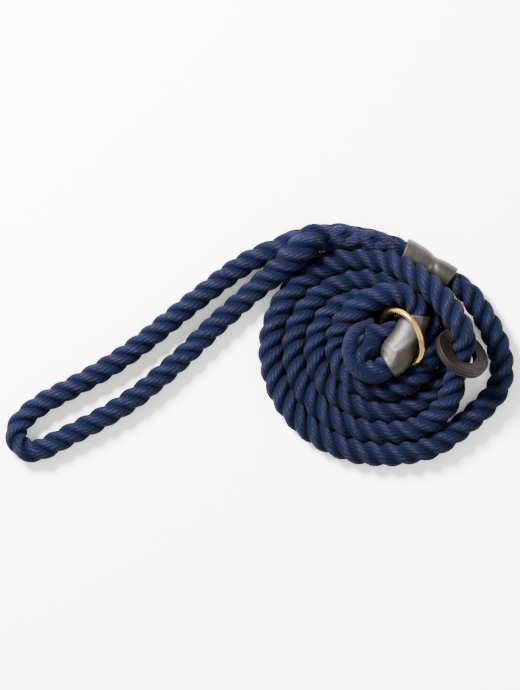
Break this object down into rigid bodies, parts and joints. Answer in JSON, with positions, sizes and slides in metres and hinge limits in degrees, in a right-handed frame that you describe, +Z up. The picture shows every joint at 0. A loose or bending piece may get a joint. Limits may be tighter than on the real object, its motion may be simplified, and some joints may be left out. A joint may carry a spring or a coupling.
{
  "type": "slip lead",
  "caption": "Twisted rope slip lead with a spliced hand loop, a sliding leather stopper and a metal ring spliced into the noose end, laid in a loose coil.",
  "frame": {"origin": "middle of the part's outline, on the surface that it lies on", "axes": "+X along the length, from the hand loop towards the coil; +Y towards the spliced side; +Z up"},
  "size_m": [0.2716, 0.1304, 0.0365],
  "materials": {
    "rope": "matte",
    "sleeve": "satin",
    "leather": "matte",
    "ring": "worn"
  },
  "bodies": {
    "root": {"hand_loop": "rope", "handle_splice": "rope", "handle_strand_1": "rope", "handle_strand_2": "rope", "handle_strand_3": "rope", "outer_turn": "rope", "second_turn": "rope", "third_turn": "rope", "inner_turn": "rope", "ring_splice": "rope", "ring_strand_1": "rope", "ring_strand_2": "rope", "ring_strand_3": "rope", "ring_eye": "rope", "handle_sleeve": "sleeve", "ring_sleeve": "sleeve"},
    "stopper": {"stopper_upper_leather": "leather", "stopper_lower_leather": "leather"},
    "ring": {"brass_ring": "ring"}
  },
  "joints": [
    {"name": "stopper_slide", "type": "slide", "parent": "root", "child": "stopper", "axis": [0.2937, 0.7742, 0.5606], "range_m": [-0.0005, 0.0015]},
    {"name": "ring_swing", "type": "hinge", "parent": "root", "child": "ring", "pos_m": [0.0655, 0.00871, 0.01044], "axis": [-0.0007, -0.8582, -0.5134], "range_deg": [-3, 2]}
  ]
}
